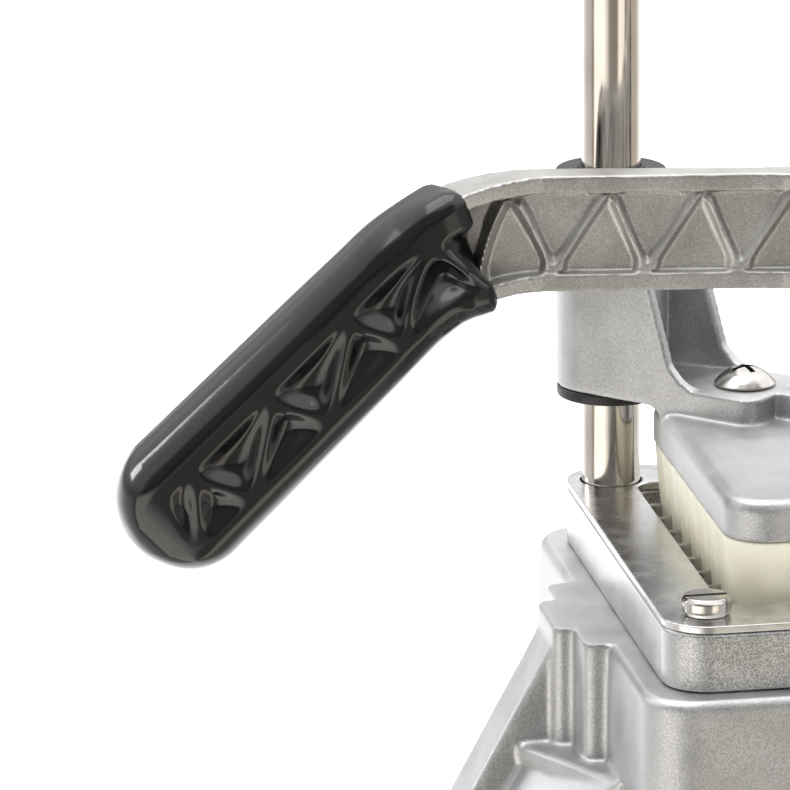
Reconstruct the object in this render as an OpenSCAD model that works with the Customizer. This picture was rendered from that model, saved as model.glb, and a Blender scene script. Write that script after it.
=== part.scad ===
// French fry cutter: a two-handed head slides straight down two rods and pushes a potato through a blade grid.
// Origin: centre of the blade opening, on the floor. +Z is up, -Y is the front.

/* [Blade cassette] */
// Side of one chip
cut = 12.7; // [9.5:0.1:14]
// Chips along each side
cells = 9; // [7:1:9]
// Blade thickness
blade_t = 0.8; // [0.6:0.1:1.2]
// Height of one blade
blade_h = 7.6; // [7:0.1:7.6]
// Rim of the cassette round its opening
rim = 17.5; // [17:0.5:20]
// Height of the cast cassette box
frame_h = 16; // [16:0.5:20]
// Thickness of the stainless top plate
plate_t = 2; // [1.5:0.5:3]
// Length of a blade's end in its slot
blade_seat = 5; // [3:0.5:8]

/* [Base] */
// Height of the deck over the floor
deck_z = 152; // [145:1:170]
// Height of the skirt
skirt_h = 32; // [28:1:36]
// Ledge of the deck round the cassette
ledge = 6.4; // [4:0.2:9]
// Deck thickness
deck_t = 6; // [5:0.5:9]
// Skirt wall
skirt_t = 6; // [6:0.5:8]
// Corner radius of the skirt
skirt_r = 13; // [9:1:16]
// Width of a leg's spine
spine_w = 19; // [14:1:24]
// Depth of a leg's spine
spine_d = 14; // [10:1:16]
// Slope of a leg, outward over down
splay = 0.545; // [0.4:0.01:0.6]
// Spine's outer face beyond the skirt
spine_out = 11.7; // [9:0.1:13]
// Half width of a leg's gusset where it leaves the skirt
gusset_half = 46; // [38:1:52]

/* [Feet] */
// Foot diameter at the floor
foot_d = 36; // [30:1:40]
// Foot height
foot_h = 14; // [12:1:18]
// Foot screw diameter
foot_screw_d = 6; // [5:1:8]

/* [Guide rods] */
// Rod diameter
rod_d = 16; // [14:1:18]
// Rod centre beyond the opening's edge
rod_out = 5.5; // [5:0.5:7]
// Head travel
stroke = 150; // [100:5:170]
// Bumper diameter
bumper_d = 24; // [22:1:28]
// Bumper height
bumper_h = 7; // [5:1:10]
// Diameter of the screws and bolts in the corners
bolt_d = 8; // [6:1:8]

/* [Head] */
// Outer diameter of a rod boss
boss_d = 30; // [27:1:32]
// Height of a rod boss with its flanges
boss_h = 62.9; // [55:0.1:75]
// Height of the boss over the cassette when the head is down
boss_gap = 24.5; // [20:0.5:28]
// Thickness of the pusher plate
pusher_t = 11.4; // [9:0.1:14]
// Thickness of an arm's wall
arm_t = 3.5; // [3:0.5:5]
// Height of the screw pad over the pusher plate
pad_h = 7.1; // [5:0.1:9]
// Diameter of the centre column
column_d = 28; // [24:1:32]
// Outer diameter of a bushing's sleeve
bush_d = 20; // [19:0.5:22]
// Length of a bushing's sleeve
bush_l = 20; // [12:1:24]
// Thickness of a bushing's flange
bush_flange = 3; // [2:0.5:4]

/* [Pusher block] */
// Solid nylon above the fingers
block_t = 17; // [14:0.5:19]
// Length of the fingers
finger_l = 18; // [16:0.5:19]
// Gap between fingers
slot_w = 2; // [1.6:0.1:3]

/* [Handle] */
// Height of the bar's underside over the cassette
bar_z = 68; // [60:1:80]
// Height of the bar
bar_h = 31.3; // [28:0.1:36]
// Half length of the straight bar
bar_half = 92; // [80:1:110]
// Radius of the bend on the bar's middle line
bend_r = 56; // [45:1:70]
// Angle of the bend
bend_angle = 45; // [30:1:55]
// Length of the straight end
end_l = 78; // [60:1:90]
// Turn of the bar about the column
bar_turn = -8.5; // [-15:0.5:0]
// Diameter of the hub
hub_d = 34; // [30:1:38]
// Thickness of the web
web_t = 2.6; // [2:0.2:4]
// Flange thickness round the pockets
flange_t = 4.8; // [4:0.1:6]
// Width of a truss rib at the web
rib_w = 3.6; // [3:0.2:5]
// Width of a truss rib at its outer edge
rib_edge_w = 1.2; // [0.8:0.2:2]
// Truss pitch
rib_pitch = 24.6; // [20:0.2:28]
// Thickness of the dipped coat on the grips
coat_t = 3; // [2:0.5:4]
// Handle bolt diameter
hub_bolt_d = 10; // [8:1:12]

/* [Hidden] */
$fn = 48;
round_fn = 32;           // circles inside a hull
fit = 0.05;              // radial clearance of a fixed or running fit
gap = 0.3;               // clearance between separate pieces
eps = 0.01;

opening = cells*cut + 0.7;            // blade opening
frame_side = opening + 2*rim;
plate_z = deck_z + frame_h + plate_t; // top of the cassette
corner = opening/2 + rod_out;         // rods and screws lie at +-corner
rod_turns = [135, -45];               // rod corners seen from the centre
screw_turns = [-135, 45];             // cassette screw corners
corner_dist = corner*sqrt(2);

skirt_side = frame_side + 2*ledge + 0.2;
skirt_z = deck_z - skirt_h;
skirt_draft = 0.5;                    // half side gained down to the skirt's edge
edge_r = 1.5;                         // eased top edge of the deck
chute = opening + 2;                  // way through the deck
chute_r = 10;
lug_d = 26;                           // lugs under the deck in the corners
lug_z = skirt_z - 2;
lug_floor = 6;

leg_top = deck_z - 5;                 // where the spine starts to slope
shoulder_in = skirt_side/2 - 5;
foot_lug_d = 30;
foot_lug_h = 10;
foot_hole_d = 16;                     // recess for the foot screw's head
foot_web = 5;
foot_taper = 5;
wing_back = 5.1;                      // gusset's face behind the spine's
wing_t = 5;
wing_floor_z = skirt_z - 0.2;
foot_r = spine_x(foot_h + foot_lug_h/2) - foot_lug_d/2 + 4; // foot centre from the origin
ear_r = 3;                            // edges of the stepped ear round a spine
ear_half = [13, 28];                  // its two steps' half widths
ear_out = [spine_out + 0.2, 6.5];     // how far each stands out of the skirt

blade_top = deck_z + frame_h - gap;   // cross blades lie under the plate and stop the head
blade_gap = gap;
frame_screw_head = [13, 5];           // head diameter and height
bolt_head_af = 1.625*bolt_d;
bolt_head_h = 0.66*bolt_d;
washer_t = 1.6;
rod_foot_z = lug_z + lug_floor;
bolt_reach = 22;                      // thread in a rod's end

block_side = opening - 5.6;           // at its top
block_draft = 0.094;                  // half side lost per unit down
block_r = 12;
slot_root_z = blade_top + gap;
block_top = slot_root_z + block_t;
block_z = slot_root_z - finger_l;     // finger tips
pusher_side = opening - 5;
pusher_r = 12;
pusher_top = block_top + pusher_t;
pad_z = pusher_top + pad_h;
pad_from = 36;                        // pad's ends, measured from the rod
pad_to = 55;
pad_r = 4.5;
kink = [28.2, 5.8];                   // bend in an arm wall's slope, beyond the rod and over the pad
pusher_screw_at = 43.3;
pusher_screw_d = 8;
pusher_screw_head = [16.6, 5.2];
rib_half = 3;                         // half width of the rib to the column
rib_reach = 0.74;                     // share of a pocket's depth that its ribs fill
flute_depth = 1;                      // grooves on the block's left and right

boss_z = plate_z + boss_gap;          // underside of the lower flange
boss_top = boss_z + boss_h;           // top of the upper flange
lip = [18, 1];                        // raised lip of the upper flange: diameter, height
rod_stop_z = boss_top + lip[1] + stroke + 1;
rod_top_z = rod_stop_z + bumper_h;

bar_mid = plate_z + bar_z + bar_h/2;
bend_l = bend_r*bend_angle*PI/180;
end_t = bar_half + bend_l + end_l;    // path length to the end circle's centre
end_half = 16;
bend_half = 14.2;                     // half height just after the bend
grip_t = bar_half + bend_l*0.37;      // where the coat starts
hub_washer = [21, 2];
hub_head_h = 0.64*hub_bolt_d;

// ---- helpers ----

// a square with round corners, made of plain squares and circles
module rounded_square(side, r) {
    square([side, side - 2*r], center = true);
    square([side - 2*r, side], center = true);
    for (x = [-1, 1], y = [-1, 1])
        translate([x*(side/2 - r), y*(side/2 - r)]) circle(r);
}

module rounded_slab(side, r, z, h) {
    translate([0, 0, z]) linear_extrude(h) rounded_square(side, r);
}

module post(d, z, h) {
    translate([0, 0, z]) cylinder(d = d, h = h);
}

// puts a child, drawn at a corner on +X, at each of the given turns
module at_corners(turns) {
    for (turn = turns) rotate([0, 0, turn]) translate([corner_dist, 0, 0]) children();
}

module hex_bolt(d, af, head_h, shank_h) {
    cylinder(d = af/cos(30), h = head_h, $fn = 6);
    translate([0, 0, -shank_h]) cylinder(d = d, h = shank_h + eps);
}

// a ring turned about Z
module ring(inner_d, outer_d, z, h) {
    translate([0, 0, z]) rotate_extrude()
        translate([inner_d/2, 0]) square([(outer_d - inner_d)/2, h]);
}

// ---- base ----

function spine_x(z) = skirt_side/2 + spine_out + splay*(leg_top - z);

module leg_spine() {
    low = foot_h + foot_lug_h;
    in_x = skirt_side/2 - skirt_t/2;
    rotate([90, 0, 0]) linear_extrude(spine_w, center = true) polygon([
        [in_x, deck_z - 3], [spine_x(leg_top) - 1, deck_z - 3], [spine_x(leg_top) - 1, leg_top],
        [spine_x(leg_top), leg_top], [spine_x(low), low], [spine_x(low), foot_h],
        [foot_r - foot_lug_d/2 + 4, foot_h], [foot_r - foot_lug_d/2, low],
        [spine_x(skirt_z - 2) - spine_d, skirt_z - 2], [in_x, skirt_z]
    ]);
    translate([foot_r, 0, foot_h]) cylinder(d = foot_lug_d, h = foot_lug_h);
}

// one step of the ear that carries the deck out round a spine
module leg_ear(out, half_w) {
    x = skirt_side/2 + out;
    z = wing_floor_z - 2;
    translate([shoulder_in, -half_w, z]) cube([x - ear_r - shoulder_in, 2*half_w, deck_z - z]);
    translate([shoulder_in, ear_r - half_w, z])
        cube([x - shoulder_in, 2*(half_w - ear_r), deck_z - z]);
    for (side = [-1, 1]) translate([x - ear_r, side*(half_w - ear_r), z])
        cylinder(r = ear_r, h = deck_z - z);
}

// one swept-back gusset between the skirt's edge and the foot
module leg_wing() {
    foot_end = foot_h + foot_lug_h + 6;
    front = [
        [spine_x(wing_floor_z) - wing_back, 0, wing_floor_z],
        [skirt_side/2 + 1, gusset_half, wing_floor_z],
        [spine_x(foot_end) - wing_back, spine_w/2, foot_end],
        [spine_x(foot_end) - wing_back, 0, foot_end]
    ];
    back = [for (p = front) p - [wing_t, 0, 0]];
    for (side = [-1, 1]) scale([1, side, 1])
        polyhedron(concat(front, back),
            [[0, 1, 2], [0, 2, 3], [6, 5, 4], [7, 6, 4], [0, 4, 5], [0, 5, 1],
             [1, 5, 6], [1, 6, 2], [2, 6, 7], [2, 7, 3], [3, 7, 4], [3, 4, 0]]);
}

// level floor that closes the gusset's top back to the skirt
module leg_floor() {
    out_x = spine_x(wing_floor_z) - wing_back;
    in_x = skirt_side/2 - skirt_t;
    translate([0, 0, wing_floor_z - 4]) linear_extrude(4) polygon([
        [in_x, -gusset_half], [skirt_side/2 + 1, -gusset_half], [out_x, -spine_w/2],
        [out_x, spine_w/2], [skirt_side/2 + 1, gusset_half], [in_x, gusset_half]
    ]);
}

module collar() {
    hull() {
        rounded_slab(skirt_side + 2*skirt_draft, skirt_r, skirt_z, eps, $fn = round_fn);
        rounded_slab(skirt_side, skirt_r, deck_z - edge_r, eps, $fn = round_fn);
        rounded_slab(skirt_side - 2*edge_r, skirt_r - edge_r, deck_z - eps, eps, $fn = round_fn);
    }
}

module base_casting() color("#c4c6c8") difference() {
    union() {
        difference() {
            union() {
                collar();
                for (turn = [0:90:270]) rotate([0, 0, turn]) {
                    leg_spine();
                    for (i = [0, 1]) leg_ear(ear_out[i], ear_half[i]);
                    leg_wing();
                    leg_floor();
                }
            }
            rounded_slab(skirt_side - 2*skirt_t, skirt_r - skirt_t/2, 0, deck_z - deck_t);
        }
        at_corners(concat(rod_turns, screw_turns)) post(lug_d, lug_z, deck_z - deck_t/2 - lug_z);
    }
    rounded_slab(chute, chute_r, lug_z - 1, deck_z);
    at_corners(rod_turns) {
        post(rod_d + 2*fit, rod_foot_z, deck_z);
        post(bolt_d + 0.6, 0, deck_z);
    }
    at_corners(screw_turns) post(bolt_d + 2*fit, rod_foot_z, deck_z);
    for (turn = [0:90:270]) rotate([0, 0, turn]) translate([foot_r, 0, 0])
        post(foot_screw_d + 2*fit, foot_h - 1, foot_lug_h - 2 + 1);
}

module foot(turn) color("#1c1c1d") rotate([0, 0, turn]) translate([foot_r, 0, 0])
    rotate_extrude() polygon([
        [foot_screw_d/2 + 0.2, foot_web], [foot_hole_d/2, foot_web], [foot_hole_d/2, 0],
        [foot_d/2, 0], [foot_d/2 - foot_taper + 1, foot_h*0.6], [foot_d/2 - foot_taper, foot_h],
        [foot_screw_d/2 + 0.2, foot_h]
    ]);
module foot_front() foot(-90);
module foot_rear() foot(90);
module foot_left() foot(180);
module foot_right() foot(0);

module foot_screws() color("#b9bbbd")
    for (turn = [0:90:270]) rotate([0, 0, turn]) translate([foot_r, 0, 0]) {
        post(2*foot_screw_d, foot_web - 4, 4);
        post(foot_screw_d, foot_web - eps, foot_h + foot_lug_h - 3 - foot_web);
    }

// ---- blade cassette ----

blade_at = [for (i = [1:cells - 1]) (i - cells/2)*cut];
upper_z = blade_top - blade_h;
lower_z = upper_z - blade_gap - blade_h;
blade_l = opening + 2*blade_seat;

module blade_frame() color("#aeb0b2") difference() {
    rounded_slab(frame_side, 12, deck_z, frame_h);
    rounded_slab(opening, 5, deck_z - 1, frame_h + 2);
    for (at = blade_at) {
        translate([at - blade_t/2 - fit, -blade_l/2 - fit, lower_z - fit])
            cube([blade_t + 2*fit, blade_l + 2*fit, frame_h]);
        translate([-blade_l/2 - fit, at - blade_t/2 - fit, upper_z - fit])
            cube([blade_l + 2*fit, blade_t + 2*fit, frame_h]);
    }
    at_corners(rod_turns) post(rod_d + 1, deck_z - 1, frame_h + 2);
    at_corners(screw_turns) post(bolt_d + 0.4, deck_z - 1, frame_h + 2);
}

module blade_plate() color("#cfd0d1") difference() {
    rounded_slab(frame_side, 12, deck_z + frame_h, plate_t);
    rounded_slab(opening, 5, deck_z, 2*frame_h);
    at_corners(rod_turns) post(rod_d + 1, deck_z, 2*frame_h);
    at_corners(screw_turns) post(bolt_d + 0.4, deck_z, 2*frame_h);
}

module cross_blades() color("#c9cbcd") for (at = blade_at)
    translate([-blade_l/2, at - blade_t/2, upper_z]) cube([blade_l, blade_t, blade_h]);
module long_blades() color("#c9cbcd") for (at = blade_at)
    translate([at - blade_t/2, -blade_l/2, lower_z]) cube([blade_t, blade_l, blade_h]);

module frame_screw(turn) color("#c0c2c4") at_corners([turn]) rotate([0, 0, -turn]) difference() {
    union() {
        post(frame_screw_head[0], plate_z, frame_screw_head[1]);
        post(bolt_d, rod_foot_z + 2, plate_z - rod_foot_z - 2 + eps);
    }
    translate([-frame_screw_head[0], -0.9, plate_z + frame_screw_head[1] - 2])
        cube([2*frame_screw_head[0], 1.8, 3]);
}
module frame_screw_left() frame_screw(screw_turns[0]);
module frame_screw_right() frame_screw(screw_turns[1]);

// ---- rods ----

module guide_rod(turn) color("#b7b8ba") at_corners([turn]) difference() {
    post(rod_d, rod_foot_z, rod_top_z - rod_foot_z);
    post(bolt_d + 2*fit, rod_foot_z - 1, bolt_reach + 2);
    post(bolt_d + 2*fit, rod_top_z - bolt_reach - 1, bolt_reach + 2);
}
module guide_rod_left() guide_rod(rod_turns[0]);
module guide_rod_right() guide_rod(rod_turns[1]);

module rod_base_washers() color("#b9bbbd") at_corners(rod_turns)
    ring(bolt_d + 0.4, 2*bolt_d, lug_z - washer_t, washer_t);
module rod_base_bolts() color("#b9bbbd") at_corners(rod_turns)
    translate([0, 0, lug_z - washer_t]) mirror([0, 0, 1])
        hex_bolt(bolt_d, bolt_head_af, bolt_head_h, washer_t + lug_floor + bolt_reach);

module rod_bumper(turn) color("#202021") at_corners([turn])
    ring(rod_d + 2*fit, bumper_d, rod_stop_z, bumper_h);
module rod_bumper_left() rod_bumper(rod_turns[0]);
module rod_bumper_right() rod_bumper(rod_turns[1]);

module rod_washers() color("#b9bbbd") at_corners(rod_turns)
    ring(bolt_d + 0.4, bumper_d - 1, rod_top_z, washer_t);
module rod_bolts() color("#b9bbbd") at_corners(rod_turns)
    translate([0, 0, rod_top_z + washer_t])
        hex_bolt(bolt_d, bolt_head_af, bolt_head_h, washer_t + bolt_reach - 1);

// ---- head ----

// an outline in distance from the rod and height, extruded across the arm
module arm_slab(points, from_y, to_y) {
    rotate([90, 0, 0]) translate([0, 0, -to_y]) linear_extrude(to_y - from_y)
        polygon([for (p = points) [corner_dist - p[0], p[1]]]);
}

module head_arm() {
    low = boss_z + bush_flange;
    high = boss_top - bush_flange;
    half = boss_d/2;
    wall = [
        [0, low], [0, high], [half - 0.5, high], [kink[0], pad_z + kink[1]],
        [kink[0] + 3.4, pad_z + 2.3], [pad_from, pad_z], [pad_from + 4, pad_z],
        [pad_from + 4, pusher_top - 3.5], [26.3, pusher_top - 3.5], [25, low - 1.7], [22.5, low]
    ];
    pad = [for (side = [-1, 1]) concat(
        [[pad_from - 1, side*half]],
        [for (a = [0:22.5:90]) [pad_to - pad_r + pad_r*sin(a), side*(half - pad_r + pad_r*cos(a))]]
    )];
    for (side = [-1, 1])
        arm_slab(wall, side > 0 ? half - arm_t : -half, side > 0 ? half : arm_t - half);
    arm_slab([[half - 4, low], [half - 4, low + 4], [pad_from, pad_z], [pad_from, low - 6],
        [26.8, low - 6], [25.3, low - 1.7], [22.5, low]], -half, half);
    arm_slab([[24, low], [24, block_top + 1], [pad_from, block_top + 1],
        [pad_from, low + 1]], -8, 8);
    translate([0, 0, pusher_top - 2]) linear_extrude(pad_h + 2)
        polygon([for (p = concat(pad[0], [for (i = [len(pad[1]) - 1:-1:0]) pad[1][i]]))
            [corner_dist - p[0], p[1]]]);
    arm_slab([[pad_to - 1, pusher_top - 2], [pad_to - 1, pad_z], [corner_dist, pad_z],
        [corner_dist, pusher_top - 2]], -rib_half, rib_half);
}

module pusher_plate() {
    edge = 3;
    hull() {
        rounded_slab(pusher_side, pusher_r, block_top, pusher_t - edge, $fn = round_fn);
        rounded_slab(pusher_side - 0.6*edge, pusher_r - 0.3*edge, pusher_top - 0.3*edge - eps, eps,
            $fn = round_fn);
        rounded_slab(pusher_side - 2*edge, pusher_r - edge, pusher_top - eps, eps, $fn = round_fn);
    }
}

module head_casting() color("#c6c8ca") difference() {
    union() {
        pusher_plate();
        post(column_d, pusher_top - 1, bar_z + plate_z - pusher_top + 1);
        for (turn = rod_turns) rotate([0, 0, turn]) {
            head_arm();
            translate([corner_dist, 0, 0])
                post(boss_d, boss_z + bush_flange, boss_h - 2*bush_flange);
        }
    }
    at_corners(rod_turns) post(bush_d + 2*fit, boss_z, boss_h);
    for (turn = rod_turns) rotate([0, 0, turn]) translate([corner_dist - pusher_screw_at, 0, 0])
        post(pusher_screw_d + 0.4, block_top - 1, pad_h + pusher_t + 2);
    post(hub_bolt_d + 2*fit, plate_z + bar_z - 28, 40);
}

// flange at the foot of a sleeve, and an optional lip under it
module bushing(lip_h, flange_d) {
    bore = rod_d + 2*fit;
    difference() {
        union() {
            post(flange_d, 0, bush_flange);
            post(bush_d, bush_flange - eps, bush_l);
            if (lip_h > 0) post(lip[0], -lip_h, lip_h + eps);
        }
        post(bore, -lip_h - 1, bush_flange + bush_l + lip_h + 2);
    }
}
module upper_bushing(turn) color("#242425") at_corners([turn])
    translate([0, 0, boss_top]) mirror([0, 0, 1]) bushing(lip[1], boss_d);
module lower_bushing(turn) color("#242425") at_corners([turn])
    translate([0, 0, boss_z]) bushing(0, boss_d - 0.5);
module upper_bushing_left() upper_bushing(rod_turns[0]);
module upper_bushing_right() upper_bushing(rod_turns[1]);
module lower_bushing_left() lower_bushing(rod_turns[0]);
module lower_bushing_right() lower_bushing(rod_turns[1]);

function block_half(z) = block_side/2 - block_draft*(block_top - z);

module pusher_block() color("#efebd8") difference() {
    hull() for (z = [block_z, block_top - eps])
        rounded_slab(2*block_half(z), block_r, z, eps, $fn = round_fn);
    for (at = blade_at) {
        translate([at - slot_w/2, -block_side, block_z - 1]) cube([slot_w, 2*block_side, finger_l + 1]);
        translate([-block_side, at - slot_w/2, block_z - 1]) cube([2*block_side, slot_w, finger_l + 1]);
        for (side = [-1, 1]) scale([side, 1, 1]) translate([0, at + slot_w/2, 0]) rotate([90, 0, 0])
            linear_extrude(slot_w) polygon([for (p = [[-flute_depth, slot_root_z - 1],
                [1, slot_root_z - 1], [1, block_top + 1], [-flute_depth, block_top + 1]])
                [block_half(p[1]) + p[0], p[1]]]);
    }
    for (turn = rod_turns) rotate([0, 0, turn]) translate([corner_dist - pusher_screw_at, 0, 0])
        post(pusher_screw_d + 2*fit, slot_root_z + 5.5, block_t);
}

// truss-head screw with a cross recess
module pusher_screw(turn) color("#bcbec0")
    rotate([0, 0, turn]) translate([corner_dist - pusher_screw_at, 0, pad_z]) difference() {
        union() {
            rotate_extrude() polygon([
                [0, 0], [pusher_screw_head[0]/2, 0], [pusher_screw_head[0]/2, 1.6],
                [pusher_screw_head[0]*0.4, 3.7], [pusher_screw_head[0]*0.22, pusher_screw_head[1] - 0.3],
                [0, pusher_screw_head[1]]
            ]);
            post(pusher_screw_d, -pad_h - pusher_t - block_t + 7, pad_h + pusher_t + block_t - 7 + eps);
        }
        for (turn2 = [0, 90]) rotate([0, 0, turn2])
            translate([-3.4, -0.7, pusher_screw_head[1] - 2.4]) cube([6.8, 1.4, 3]);
    }
module pusher_screw_left() pusher_screw(rod_turns[0]);
module pusher_screw_right() pusher_screw(rod_turns[1]);

// ---- handle ----

// The half handle runs along +X: straight, through the bend, then down the straight end.
function path_angle(t) = max(0, min(bend_angle, (t - bar_half)*180/(PI*bend_r)));
function path_x(t) = min(t, bar_half) + bend_r*sin(path_angle(t))
    + max(0, t - bar_half - bend_l)*cos(bend_angle);
function path_z(t) = bar_mid - bend_r*(1 - cos(path_angle(t)))
    - max(0, t - bar_half - bend_l)*sin(bend_angle);
function path_half(t) = lookup(t, [
    [bar_half, bar_h/2], [bar_half + bend_l, bend_half], [end_t, end_half]]);
function path_point(t, off) = [
    path_x(t) + off*sin(path_angle(t)), path_z(t) + off*cos(path_angle(t))];

// half depth of the casting along X: hub, waist, bar, then the flare into the grip
depth_table = [
    [12, hub_d/2], [17, 8.4], [22, 6], [29, 4.4], [38, 3.65], [60, 4.3], [bar_half, 4.85],
    [bar_half + 12, 7.6], [bar_half + 25, 11], [bar_half + 40, 13.6], [bar_half + 56, 14.5],
    [bar_half + 130, 14.5]
];

bend_steps = [for (i = [0:8]) bar_half + bend_l*i/8];
ring_steps = 6;                       // points on each rounded corner of the grip

// side outline of the half handle, grown by grow
module side_outline(grow = 0) {
    steps = concat([-eps], bend_steps, [end_t]);
    last = len(steps) - 1;
    end_turns = [80:-10:-80];
    polygon(concat(
        [for (t = steps) path_point(t, path_half(t) + grow)],
        [for (a = end_turns) path_point(end_t, (end_half + grow)*sin(a))
            + (end_half + grow)*cos(a)*[cos(bend_angle), -sin(bend_angle)]],
        [for (i = [0:last]) path_point(steps[last - i], -path_half(steps[last - i]) - grow)]
    ));
}

module plan_outline(grow = 0) {
    polygon(concat(
        [for (p = depth_table) [p[0], p[1] + grow]],
        [for (i = [1:len(depth_table)]) let (p = depth_table[len(depth_table) - i])
            [p[0], -p[1] - grow]]
    ));
}

module half_core(grow = 0) {
    intersection() {
        rotate([90, 0, 0]) linear_extrude(2*hub_d, center = true) side_outline(grow);
        linear_extrude(bar_mid + bar_h) plan_outline(grow);
    }
}

function strip(a, b, w) = let (d = (b - a)/norm(b - a), n = [-d[1], d[0]]*w/2)
    [a + n, b + n, b - n, a - n];

// pocket between the flanges
module pocket_outline() {
    from_t = 24;
    to_t = grip_t + 14;               // runs on under the coat
    steps = concat([from_t, bar_half], [for (i = [1:4]) bar_half + (to_t - bar_half)*i/4]);
    inset = bar_h/2 - flange_t;
    polygon(concat(
        [for (t = steps) path_point(t, inset)],
        [for (i = [1:len(steps)]) path_point(steps[len(steps) - i], -inset)]
    ));
}

// leaning truss ribs on one side of the web, broad at the web and narrow outside
module truss_ribs() {
    rise = bar_h/2 - 1;
    for (i = [0:4], lean = [17, -9.5]) {
        from_x = 25.8 + i*rib_pitch;
        top = [from_x + 2*sign(lean), bar_mid + rise];
        foot = [from_x + lean, bar_mid - rise];
        reach = rib_reach*(lookup((top[0] + foot[0])/2, depth_table) - web_t/2);
        polyhedron([for (at = [[web_t/2 - 0.4, rib_w], [web_t/2 + reach, rib_edge_w]])
                each [for (p = strip(top, foot, at[1])) [p[0], p[1], at[0]]]],
            [[3, 2, 1, 0], [4, 5, 6, 7], [0, 1, 5, 4], [1, 2, 6, 5], [2, 3, 7, 6], [3, 0, 4, 7]]);
    }
}

module handle_casting() color("#c2c4c6") rotate([0, 0, bar_turn]) difference() {
    union() {
        for (turn = [0, 180]) rotate([0, 0, turn]) {
            difference() {
                half_core();
                for (side = [-1, 1]) rotate([90, 0, 0])
                    translate([0, 0, side > 0 ? web_t/2 : -web_t/2 - hub_d])
                        linear_extrude(hub_d) pocket_outline();
            }
            intersection() {
                half_core();
                for (side = [-1, 1]) scale([1, side, 1]) rotate([90, 0, 0]) truss_ribs();
            }
        }
        post(hub_d, bar_mid - bar_h/2, bar_h);
    }
    post(hub_bolt_d + 0.6, bar_mid - bar_h, 2*bar_h);
}

// one cross-section of the dipped grip, a ring of points a little ahead of the path's point t
function grip_ring(t, ahead, half_h, half_d) = let (
        r = min(8, half_h*0.6, half_d*0.6), turn = path_angle(t), dir = [cos(turn), 0, -sin(turn)],
        up = [sin(turn), 0, cos(turn)], middle = [path_x(t), 0, path_z(t)] + ahead*dir)
    [for (quarter = [0:3], i = [0:ring_steps])
        let (a = 90*quarter + 90*i/ring_steps, side = 90*quarter + 45)
        middle + [0, sign(cos(side))*(half_d - r) + r*cos(a), 0]
            + (sign(sin(side))*(half_h - r) + r*sin(a))*up];

function grip_half_d(t) = lookup(path_x(t), depth_table) + coat_t;

module grip_body() {
    steps = [for (i = [0:6]) grip_t + (bar_half + bend_l - grip_t)*i/6];
    rings = concat(
        [for (t = concat(steps, [end_t - end_l/2, end_t]))
            grip_ring(t, 0, path_half(t) + coat_t, grip_half_d(t))],
        [for (a = [20:16:84]) grip_ring(end_t, (end_half + coat_t)*sin(a),
            (end_half + coat_t)*cos(a), grip_half_d(end_t)*pow(1 - pow(sin(a), 6), 1/3))]
    );
    n = len(rings[0]);
    last = (len(rings) - 1)*n;
    polyhedron([for (ring_points = rings) each ring_points], concat(
        [[for (i = [0:n - 1]) i]],
        [for (k = [0:n:last - n], i = [0:n - 1]) [k + i, k + i + n, k + n + (i + 1)%n]],
        [for (k = [0:n:last - n], i = [0:n - 1]) [k + i, k + n + (i + 1)%n, k + (i + 1)%n]],
        [[for (i = [0:n - 1]) last + n - 1 - i]]
    ));
}

module grip(turn) color("#121213") rotate([0, 0, bar_turn + turn]) difference() {
    grip_body();
    half_core(fit);
}
module grip_left() grip(180);
module grip_right() grip(0);

module handle_washer() color("#b9bbbd")
    ring(hub_bolt_d + 0.4, hub_washer[0], bar_mid + bar_h/2, hub_washer[1]);
module handle_bolt() color("#b9bbbd")
    translate([0, 0, bar_mid + bar_h/2 + hub_washer[1]])
        hex_bolt(hub_bolt_d, 1.7*hub_bolt_d, hub_head_h, bar_h + hub_washer[1] + 24);

base_casting();
foot_front();
foot_rear();
foot_left();
foot_right();
foot_screws();
blade_frame();
blade_plate();
cross_blades();
long_blades();
frame_screw_left();
frame_screw_right();
guide_rod_left();
guide_rod_right();
rod_base_washers();
rod_base_bolts();
rod_bumper_left();
rod_bumper_right();
rod_washers();
rod_bolts();
head_casting();
upper_bushing_left();
upper_bushing_right();
lower_bushing_left();
lower_bushing_right();
pusher_block();
pusher_screw_left();
pusher_screw_right();
handle_casting();
grip_left();
grip_right();
handle_washer();
handle_bolt();
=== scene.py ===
import math

import bmesh
import bpy
from mathutils import Matrix, Vector


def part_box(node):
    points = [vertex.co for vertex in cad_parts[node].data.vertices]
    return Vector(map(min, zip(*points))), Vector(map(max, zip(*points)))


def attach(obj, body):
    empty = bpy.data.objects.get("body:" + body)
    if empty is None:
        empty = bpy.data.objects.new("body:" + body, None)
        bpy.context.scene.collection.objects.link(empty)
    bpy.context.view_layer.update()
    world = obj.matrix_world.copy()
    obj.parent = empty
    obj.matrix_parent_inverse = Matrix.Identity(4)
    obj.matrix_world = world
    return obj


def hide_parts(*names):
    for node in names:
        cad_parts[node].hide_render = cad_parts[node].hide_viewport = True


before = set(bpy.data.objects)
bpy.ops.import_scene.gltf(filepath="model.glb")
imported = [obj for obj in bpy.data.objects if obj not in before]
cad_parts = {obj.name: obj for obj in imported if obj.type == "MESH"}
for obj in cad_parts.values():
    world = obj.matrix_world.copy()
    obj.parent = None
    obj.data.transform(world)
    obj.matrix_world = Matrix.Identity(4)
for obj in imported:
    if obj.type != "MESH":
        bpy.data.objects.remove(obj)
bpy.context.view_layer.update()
scene = bpy.context.scene
scene.view_settings.view_transform = "Standard"
mm = 0.001
print("frame loaded:", len(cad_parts), "nodes")


# Camera, light and floor

cameraPlan = {
    "place": (-0.4196, -1.7423, 0.7043),  # metres, in the part's frame
    "azimuth": -9.34, "elevation": 15.5, "roll": -0.48,  # degrees
    "lens": 319.1, "sensor": 36.0, "clip": (0.05, 60),
}


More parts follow.
